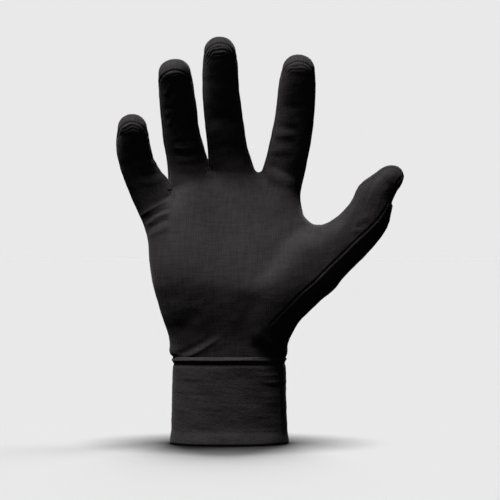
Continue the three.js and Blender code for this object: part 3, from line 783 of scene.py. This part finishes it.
def cuff_ring(z, inset):
    left, right, d = (level(CUFF, np.array([z]), i)[0] for i in (1, 2, 3))
    power = lambda v: np.sign(v) * np.abs(v) ** (2 / 2.3)
    return np.stack([(left + right) / 2 + ((right - left) / 2 - inset) * power(np.cos(TURN)), (d - inset) * power(np.sin(TURN)), np.full(CUFF_SIDES, z)], 1)


base_ring = cuff_ring(20.0, 0.0)
step = np.linalg.norm(np.diff(np.vstack([base_ring, base_ring[:1]]), axis=0), axis=1)
ROUND = np.concatenate([[0], np.cumsum(step)[:-1]])       # how far round the cuff each point of a ring is
PITCH = step.sum() / round(step.sum() / 2.7)              # of the stitches round the hem


def cuff_relief(z):
    """How far the cuff's outer face stands out at one height, all round."""
    q = np.stack([base_ring[:, 0], base_ring[:, 1], np.full(CUFF_SIDES, z)], 1)
    lower = 0.6 * smooth(-20, -34, q[:, 0]) + 0.2 * waves(q * [1, 1, 0], 30, 4, 15)
    out = 0.75 * (1 - 0.6 * smooth(10, 24, q[:, 0]) * (q[:, 1] < 0)) * np.exp(-((z - 48.8 + lower) / 0.7) ** 2) - 0.5 * np.exp(-((z - 46.3 + lower) / 1.1) ** 2)
    stitch = 0.5 + 0.5 * np.cos(2 * math.pi * ROUND / PITCH)
    out = out - math.exp(-((z - 7.6) / 0.5) ** 2) * (0.07 - 0.05 * stitch)
    off = q[:, 0] - CUFF_SEAM + 0.02 * (z - 20)
    front = q[:, 1] < 0
    seam = -0.4 * np.exp(-(off / 0.45) ** 2) + 0.22 * np.exp(-((np.abs(off) - 1.2) / 0.6) ** 2)
    out = out + np.where(front, seam, 0) * smooth(2, 6, z)
    out = out + (0.10 * waves(q * [1, 1, 1.6], 16, 8, 8) + 0.025 * waves(q * [1, 1, 3.5], 9, 8, 9)) * smooth(0, 5, z)
    for x0, z0, reach, height, width in CUFF_FOLDS:
        out = out + np.where(front, height * math.exp(-((z - z0) / width) ** 2), 0) * np.exp(-((q[:, 0] - x0) / reach) ** 2)
    return out


# Faint level folds: x, z, how far they reach each way, height, half width.
CUFF_FOLDS = [(27.0, 36.0, 6.0, 0.3, 0.9), (28.0, 33.6, 5.0, -0.3, 0.8), (24.0, 40.2, 8.0, 0.2, 0.8), (-26.0, 38.0, 7.0, 0.2, 1.0),
              (-20.0, 29.0, 10.0, -0.15, 1.2), (6.0, 22.0, 14.0, 0.12, 1.4)]

rings, levels = [], []
for z in np.linspace(0.9, 49.7, 117):
    rings.append(cuff_ring(z, -cuff_relief(z)))
    levels.append(z)
for a in np.linspace(0.3, math.pi - 0.3, 5):          # the top edge, turned in under the wrist seam
    rings.append(cuff_ring(49.7 + 0.9 * math.sin(a), 1.1 - 1.1 * math.cos(a)))
    levels.append(50.6 + a * 0.5)
for z in np.linspace(49.5, 0.9, 30):
    rings.append(cuff_ring(z, 2.2))
    levels.append(102 - z)
for a in np.linspace(0.3, math.pi - 0.3, 5):          # the folded hem
    rings.append(cuff_ring(0.9 - 0.9 * math.sin(a), 1.1 + 1.1 * math.cos(a)))
    levels.append(-0.5 * a)
rings = np.array(rings)
m, n = rings.shape[:2]
faces = [(i * n + j, i * n + (j + 1) % n, ((i + 1) % m) * n + (j + 1) % n, ((i + 1) % m) * n + j) for i in range(m) for j in range(n)]
cuff_places = np.stack([np.tile(rings[0, :, 0], m), np.tile(rings[0, :, 1], m), np.repeat(levels, n)], 1)
pieces["cuff"] = mesh_object("cuff_cloth", rings.reshape(-1, 3), faces, cuff_places)


# ---- materials --------------------------------------------------------------------------------------------------------
def jersey(name, dark, light, streak, course, rib, sheen):
    """Fine jersey: ribs of knit, streaks where the yarn varies, and a soft sheen. The scales are (across, along)."""
    mat = bpy.data.materials.new(name)
    mat.use_nodes = True
    nt = mat.node_tree
    bsdf = nt.nodes["Principled BSDF"]
    new, link = nt.nodes.new, nt.links.new

    def maths(op, a, b=None):
        n = new("ShaderNodeMath")
        n.operation = op
        for i, v in enumerate((a, b)):
            if isinstance(v, (int, float)):
                n.inputs[i].default_value = v
            elif v is not None:
                link(v, n.inputs[i])
        return n.outputs[0]

    def noise(vector, scale, detail=2.0, rough=0.5):
        mp = new("ShaderNodeMapping")
        mp.inputs["Scale"].default_value = scale
        link(vector, mp.inputs[0])
        n = new("ShaderNodeTexNoise")
        n.inputs["Scale"].default_value = 1.0
        n.inputs["Detail"].default_value = detail
        n.inputs["Roughness"].default_value = rough
        link(mp.outputs[0], n.inputs["Vector"])
        return n.outputs["Fac"]

    at = new("ShaderNodeAttribute")
    at.attribute_name = "grain"
    place = at.outputs["Vector"]
    xyz = new("ShaderNodeSeparateXYZ")
    link(place, xyz.inputs[0])
    u, depth, v = xyz.outputs
    wobble = maths("MULTIPLY", noise(place, (0.12, 0.12, 0.08), 1.0), 2.2)
    across = maths("ADD", u if rib[2] == "wales" else v, wobble)
    ribs = maths("SINE", maths("MULTIPLY", across, 2 * math.pi / rib[0]))
    loops = maths("SINE", maths("ADD", maths("MULTIPLY", v, 2 * math.pi / rib[1]), maths("MULTIPLY", u, 2.1)))
    streaks = noise(place, streak, 3.0, 0.6)
    courses = noise(place, course, 3.0, 0.6)
    cloud = noise(place, (0.07, 0.07, 0.05), 2.0)
    mix = maths("ADD", maths("MULTIPLY", streaks, 0.5), maths("ADD", maths("MULTIPLY", courses, 0.35), maths("MULTIPLY", cloud, 0.25)))
    mix = maths("ADD", mix, maths("MULTIPLY", ribs, 0.05))
    ramp = new("ShaderNodeMapRange")
    ramp.inputs["From Min"].default_value = 0.32
    ramp.inputs["From Max"].default_value = 0.78
    link(mix, ramp.inputs["Value"])
    colour = new("ShaderNodeMix")
    colour.data_type = "RGBA"
    link(ramp.outputs[0], colour.inputs["Factor"])
    colour.inputs["A"].default_value = (*dark, 1)
    colour.inputs["B"].default_value = (*light, 1)
    link(colour.outputs["Result"], bsdf.inputs["Base Color"])
    rough = new("ShaderNodeMapRange")
    rough.inputs["To Min"].default_value = 0.86
    rough.inputs["To Max"].default_value = 0.68
    link(mix, rough.inputs["Value"])
    link(rough.outputs[0], bsdf.inputs["Roughness"])
    fuzz = noise(place, (2.6, 2.6, 2.6), 3.0, 0.65)
    height = maths("ADD", maths("MULTIPLY", ribs, 0.26), maths("MULTIPLY", loops, 0.12))
    height = maths("ADD", height, maths("ADD", maths("MULTIPLY", streaks, 1.1), maths("ADD", maths("MULTIPLY", courses, 1.1), maths("MULTIPLY", fuzz, 0.9))))
    bump = new("ShaderNodeBump")
    bump.inputs["Strength"].default_value = 0.6
    bump.inputs["Distance"].default_value = 0.00022
    link(height, bump.inputs["Height"])
    link(bump.outputs[0], bsdf.inputs["Normal"])
    bsdf.inputs["Sheen Weight"].default_value = sheen
    bsdf.inputs["Sheen Roughness"].default_value = 0.45
    bsdf.inputs["Sheen Tint"].default_value = (1.0, 0.95, 0.96, 1)
    bsdf.inputs["Specular IOR Level"].default_value = 0.25
    return mat


cloth = jersey("jersey", (0.0185, 0.016, 0.0165), (0.046, 0.0395, 0.041), (0.62, 0.3, 0.07), (0.1, 0.1, 0.7), (0.95, 0.8, "wales"), 0.10)
cuff_cloth = jersey("cuff_jersey", (0.013, 0.0112, 0.0117), (0.060, 0.0525, 0.0545), (0.42, 0.42, 1.5), (0.9, 0.9, 2.2), (0.95, 0.9, "wales"), 0.10)
for name, o in pieces.items():
    o.data.materials.append(cuff_cloth if name == "cuff" else cloth)
    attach(o, "root")
    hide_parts(name)

# ---- studio ---------------------------------------------------------------------------------------------------------------
scene = bpy.context.scene
PAPER = 0.8148         # of the plain ground and everything behind it

ground = mesh_object("ground", [(-30000, -30000, 0), (30000, -30000, 0), (30000, 30000, 0), (-30000, 30000, 0)], [(0, 1, 2, 3)])
paper = bpy.data.materials.new("ground_paper")
paper.use_nodes = True
b = paper.node_tree.nodes["Principled BSDF"]
near = paper.node_tree.nodes.new("ShaderNodeAmbientOcclusion")     # painted contact shadow: ambient occlusion darkens the ground's colour where the glove stands on it
near.inputs["Distance"].default_value = 0.06
painted_shadow_depth = paper.node_tree.nodes.new("ShaderNodeMath")
painted_shadow_depth.operation = "POWER"
painted_shadow_depth.inputs[1].default_value = 5.0
paper.node_tree.links.new(near.outputs["AO"], painted_shadow_depth.inputs[0])
# painted contact shadow: the paper's colour is mixed towards near black by that occlusion
painted_contact_shadow = paper.node_tree.nodes.new("ShaderNodeMix")
painted_contact_shadow.data_type = "RGBA"
painted_contact_shadow.inputs["A"].default_value = (0.02, 0.02, 0.02, 1)
painted_contact_shadow.inputs["B"].default_value = (PAPER, PAPER, PAPER, 1)
paper.node_tree.links.new(painted_shadow_depth.outputs[0], painted_contact_shadow.inputs["Factor"])
paper.node_tree.links.new(painted_contact_shadow.outputs["Result"], b.inputs["Base Color"])
b.inputs["Roughness"].default_value = 1.0
b.inputs["Specular IOR Level"].default_value = 0.0
ground.data.materials.append(paper)
ground.visible_diffuse = False
ground.visible_glossy = False

world = bpy.data.worlds.new("studio")
scene.world = world
world.use_nodes = True
world.node_tree.nodes["Background"].inputs[0].default_value = (PAPER, PAPER, PAPER, 1)
world.node_tree.nodes["Background"].inputs[1].default_value = 1.0
world.cycles_visibility.diffuse = False
world.cycles_visibility.glossy = False

on_glove = bpy.data.collections.new("lit_glove")
on_ground = bpy.data.collections.new("lit_ground")
for o in pieces.values():
    on_glove.objects.link(o)
on_ground.objects.link(ground)
foot = bpy.data.collections.new("foot")          # what casts the shadow on the ground
foot.objects.link(pieces["cuff"])


def lamp(name, kind, place, aim, power, size, group, blockers=None):
    light = bpy.data.lights.new(name, kind)
    light.energy = power
    if kind == "AREA":
        light.shape = "DISK"
        light.size = size
    else:
        light.angle = size
    o = bpy.data.objects.new(name, light)
    scene.collection.objects.link(o)
    o.location = place
    o.rotation_euler = (Vector(aim) - Vector(place)).to_track_quat("-Z", "Y").to_euler()
    o.light_linking.receiver_collection = group
    if blockers is not None:
        o.light_linking.blocker_collection = blockers
    return o


def toward(azimuth, elevation, far, aim=(0.0, 0.0, 0.12)):
    """A place seen from the aim: azimuth from the camera's side, positive to its right."""
    a, e = math.radians(azimuth), math.radians(elevation)
    return (aim[0] + far * math.cos(e) * math.sin(a), aim[1] - far * math.cos(e) * math.cos(a), aim[2] + far * math.sin(e))


lamp("key", "AREA", toward(-47, 68, 1.7), (0.0, 0.0, 0.12), 37.5, 0.7, on_glove)
lamp("fill", "AREA", toward(10, 10, 2.2), (0.0, 0.0, 0.12), 2.2, 2.0, on_glove)
lamp("back", "AREA", toward(168, 25, 2.0), (0.0, 0.0, 0.12), 14, 1.2, on_glove)
lamp("low_back_ground", "SUN", toward(178, 26, 2.0), (0.0, 0.0, 0.12), 5.3, math.radians(40), on_ground, foot)
lamp("low_side_ground", "SUN", toward(118, 18, 2.0), (0.0, 0.0, 0.12), 1.6, math.radians(36), on_ground, foot)
soft = lamp("all_round_ground", "SUN", (0.0, 0.0, 2.0), (0.0, 0.0, 0.0), 0.325, math.radians(50), on_ground)
soft.data.use_shadow = False

camera = bpy.data.cameras.new("camera")
camera.lens = 155.2
camera.sensor_width = 36
camera.clip_start = 0.05
o = bpy.data.objects.new("camera", camera)
scene.collection.objects.link(o)
o.location = (0.01189, -1.25, 0.11194)
o.rotation_euler = (math.pi / 2, 0, 0)
scene.camera = o
scene.view_settings.view_transform = "Standard"
